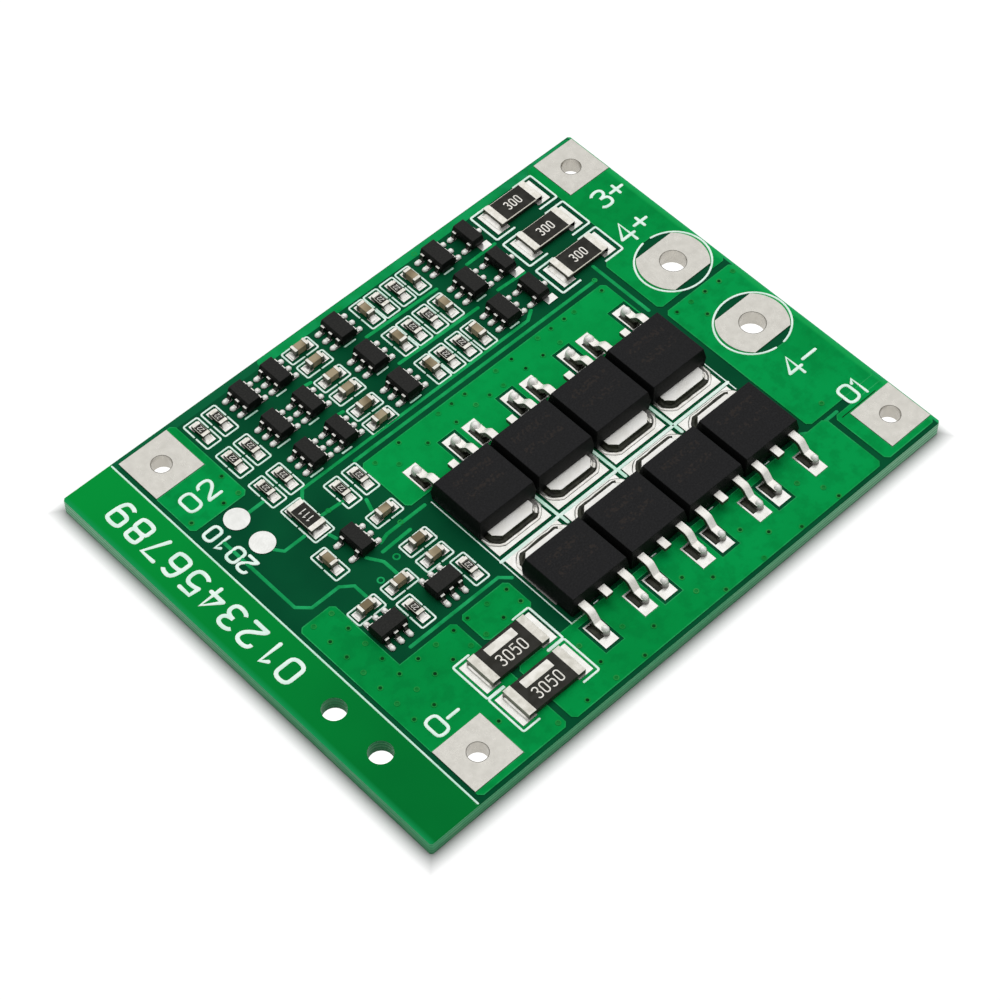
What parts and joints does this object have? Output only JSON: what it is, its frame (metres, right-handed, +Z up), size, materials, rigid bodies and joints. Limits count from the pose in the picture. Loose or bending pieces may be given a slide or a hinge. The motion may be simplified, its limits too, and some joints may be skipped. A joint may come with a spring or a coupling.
{
  "type": "battery management board",
  "caption": "Flat rectangular circuit board with square and round wire terminals, two rows of power transistors, chip resistors and rows of small packages",
  "frame": {"origin": "centre of the board's underside", "axes": "+X along the board's length, from the strip with two holes towards the round terminals; +Z up, out of the face that carries the parts"},
  "size_m": [0.06, 0.0456, 0.004],
  "materials": {
    "green_mask_laminate": "satin green solder mask over a glass fibre laminate",
    "green_mask_copper": "satin green solder mask over copper",
    "tinned_terminal": "satin tin",
    "solder": "bright solder",
    "tinned_lead_frame": "bright tin",
    "small_leads": "bright tin",
    "plated_ends": "bright tin",
    "power_moulding": "fine grained moulding",
    "small_moulding": "fine grained moulding",
    "resistor_coating": "satin glaze",
    "capacitor_ceramic": "fired ceramic"
  },
  "bodies": {
    "root": {"balance_chip_1": "small_moulding", "balance_chip_2": "small_moulding", "balance_chip_3": "small_moulding", "balance_resistor_bands_1": "plated_ends", "balance_resistor_bands_2": "plated_ends", "balance_resistor_bands_3": "plated_ends", "balance_resistor_body_1": "resistor_coating", "balance_resistor_body_2": "resistor_coating", "balance_resistor_body_3": "resistor_coating", "balance_switch_1": "small_moulding", "balance_switch_2": "small_moulding", "balance_switch_3": "small_moulding", "battery_minus_terminal": "tinned_terminal", "battery_plus_terminal": "tinned_terminal", "cell_tap_one_terminal": "tinned_terminal", "cell_tap_two_terminal": "tinned_terminal", "chip_capacitor_bodies": "capacitor_ceramic", "chip_capacitor_caps": "plated_ends", "chip_resistor_bands": "plated_ends", "chip_resistor_bodies": "resistor_coating", "gate_driver_1": "small_moulding", "gate_driver_2": "small_moulding", "level_shifter_1": "small_moulding", "level_shifter_2": "small_moulding", "level_shifter_3": "small_moulding", "level_shifter_4": "small_moulding", "level_shifter_5": "small_moulding", "level_shifter_6": "small_moulding", "masked_copper": "green_mask_copper", "output_switch": "small_moulding", "pack_minus_terminal": "tinned_terminal", "pack_plus_terminal": "tinned_terminal", "printed_board": "green_mask_laminate", "probe_lands": "tinned_terminal", "protection_chip_1": "small_moulding", "protection_chip_2": "small_moulding", "protection_chip_3": "small_moulding", "sense_resistor_bands_1": "plated_ends", "sense_resistor_bands_2": "plated_ends", "sense_resistor_body_1": "resistor_coating", "sense_resistor_body_2": "resistor_coating", "small_package_leads": "small_leads", "solder_lands": "solder", "transistor_body_1": "power_moulding", "transistor_body_2": "power_moulding", "transistor_body_3": "power_moulding", "transistor_body_4": "power_moulding", "transistor_body_5": "power_moulding", "transistor_body_6": "power_moulding", "transistor_body_7": "power_moulding", "transistor_body_8": "power_moulding", "transistor_lead_frame_1": "tinned_lead_frame", "transistor_lead_frame_2": "tinned_lead_frame", "transistor_lead_frame_3": "tinned_lead_frame", "transistor_lead_frame_4": "tinned_lead_frame", "transistor_lead_frame_5": "tinned_lead_frame", "transistor_lead_frame_6": "tinned_lead_frame", "transistor_lead_frame_7": "tinned_lead_frame", "transistor_lead_frame_8": "tinned_lead_frame"}
  },
  "joints": []
}
